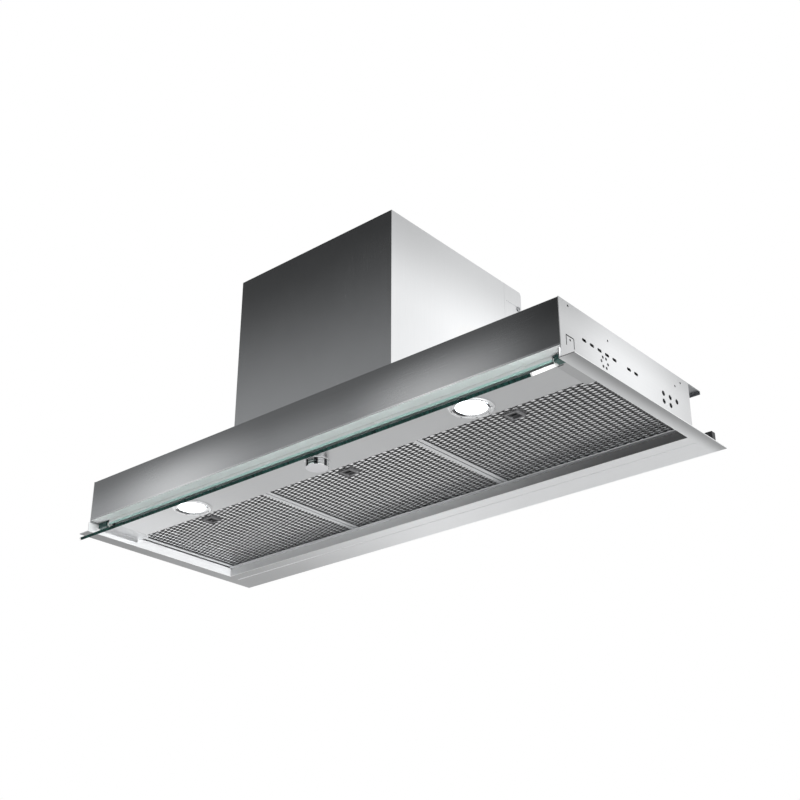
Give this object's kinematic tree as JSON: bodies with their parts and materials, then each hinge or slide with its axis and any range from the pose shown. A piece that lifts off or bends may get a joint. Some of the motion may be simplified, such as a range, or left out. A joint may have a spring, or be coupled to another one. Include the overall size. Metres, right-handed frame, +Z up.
{
  "type": "built-in range hood",
  "caption": "Built-in range hood for a wall cabinet: flanged steel body, tilting glass visor, drop-down grease filters, lamps, rotary knob, motor tower with blower and duct spigot",
  "frame": {"origin": "middle of the front panel's face, on the plane of the flange's underside", "axes": "+X along the hood to the right as the cook faces it, +Y from the front panel to the wall, +Z up"},
  "size_m": [0.897, 0.3772, 0.4156],
  "materials": {
    "stainless": "fine horizontal brushing, satin",
    "stainless_light": "satin, brighter inner faces",
    "galvanised": "light satin zinc-coated sheet",
    "chrome": "polished",
    "knob_face": "turned, satin",
    "visor_glass": "clear with green edges",
    "strip_glass": "frosted pale green",
    "white_plastic": "gloss",
    "black_plastic": "fine grain",
    "lens": "lit diffuser",
    "filter_frame": "satin anodised",
    "filter_mesh": "expanded layers",
    "blower_plastic": "moulded",
    "motor_can": "dull",
    "steel_screw": "zinc plated",
    "box_plastic": "moulded"
  },
  "bodies": {
    "hood": {"bottom_frame": "stainless", "front_panel": "stainless", "side_wall_left": "galvanised", "side_wall_right": "galvanised", "top_plate": "galvanised", "rear_wall": "galvanised", "rear_rail": "galvanised", "lamp_panel": "stainless", "panel_cheek_left": "stainless", "panel_cheek_right": "stainless", "filter_ledge": "stainless_light", "upper_glass_strip": "strip_glass", "visor_hinge_left": "black_plastic", "visor_hinge_right": "black_plastic", "lamp_bezel_left": "chrome", "lamp_bezel_right": "chrome", "lamp_lens_left": "lens", "lamp_lens_right": "lens", "lamp_can_left": "motor_can", "lamp_can_right": "motor_can", "switch_collar": "chrome", "rotary_switch": "black_plastic", "tower_front_cover": "stainless", "tower_rear_cover": "galvanised", "tower_top_plate": "galvanised", "tower_screws": "steel_screw", "duct_spigot": "black_plastic", "damper_rod": "galvanised", "blower_housing": "blower_plastic", "motor": "motor_can", "motor_bracket": "galvanised", "bracket_screws": "steel_screw", "control_box": "box_plastic", "run_capacitor": "black_plastic", "lamp_driver": "box_plastic", "cable_gland": "black_plastic", "fixing_clips": "black_plastic", "rail_screws": "steel_screw"},
    "visor": {"visor_glass": "visor_glass", "visor_end_left": "white_plastic", "visor_end_right": "white_plastic"},
    "knob": {"control_knob": "knob_face"},
    "wheel": {"blower_wheel": "blower_plastic", "motor_shaft": "steel_screw"},
    "flap_front": {"damper_flap_front": "galvanised"},
    "flap_rear": {"damper_flap_rear": "galvanised"},
    "filter_left": {"filter_frame_left": "filter_frame", "filter_mesh_left": "filter_mesh", "latch_surround_left": "filter_frame"},
    "latch_left": {"filter_latch_left": "black_plastic"},
    "filter_middle": {"filter_frame_middle": "filter_frame", "filter_mesh_middle": "filter_mesh", "latch_surround_middle": "filter_frame"},
    "latch_middle": {"filter_latch_middle": "black_plastic"},
    "filter_right": {"filter_frame_right": "filter_frame", "filter_mesh_right": "filter_mesh", "latch_surround_right": "filter_frame"},
    "latch_right": {"filter_latch_right": "black_plastic"}
  },
  "joints": [
    {"name": "visor_tilt", "type": "hinge", "parent": "hood", "child": "visor", "pos_m": [0, 0.0204, 0.0128], "axis": [-1, 0, 0], "range_deg": [0, 32]},
    {"name": "knob_turn", "type": "hinge", "parent": "hood", "child": "knob", "pos_m": [0, 0.05, 0], "axis": [0, 0, -1], "range_deg": [0, 270]},
    {"name": "wheel_spin", "type": "hinge", "parent": "hood", "child": "wheel", "pos_m": [0, 0.18, 0.195], "axis": [1, 0, 0], "continuous": true},
    {"name": "flap_front_swing", "type": "hinge", "parent": "hood", "child": "flap_front", "pos_m": [0, 0.18, 0.3695], "axis": [-1, 0, 0], "range_deg": [0, 80]},
    {"name": "flap_rear_swing", "type": "hinge", "parent": "hood", "child": "flap_rear", "pos_m": [0, 0.18, 0.3695], "axis": [1, 0, 0], "range_deg": [0, 80]},
    {"name": "filter_left_drop", "type": "hinge", "parent": "hood", "child": "filter_left", "pos_m": [0, 0.2775, 0.0139], "axis": [1, 0, 0], "range_deg": [0, 50]},
    {"name": "latch_left_slide", "type": "slide", "parent": "filter_left", "child": "latch_left", "axis": [0, 1, 0], "range_m": [0, 0.0045], "stiffness_N_per_m": 300, "springref_m": -0.002},
    {"name": "filter_middle_drop", "type": "hinge", "parent": "hood", "child": "filter_middle", "pos_m": [0, 0.2775, 0.0139], "axis": [1, 0, 0], "range_deg": [0, 50]},
    {"name": "latch_middle_slide", "type": "slide", "parent": "filter_middle", "child": "latch_middle", "axis": [0, 1, 0], "range_m": [0, 0.0045], "stiffness_N_per_m": 300, "springref_m": -0.002},
    {"name": "filter_right_drop", "type": "hinge", "parent": "hood", "child": "filter_right", "pos_m": [0, 0.2775, 0.0139], "axis": [1, 0, 0], "range_deg": [0, 50]},
    {"name": "latch_right_slide", "type": "slide", "parent": "filter_right", "child": "latch_right", "axis": [0, 1, 0], "range_m": [0, 0.0045], "stiffness_N_per_m": 300, "springref_m": -0.002}
  ]
}
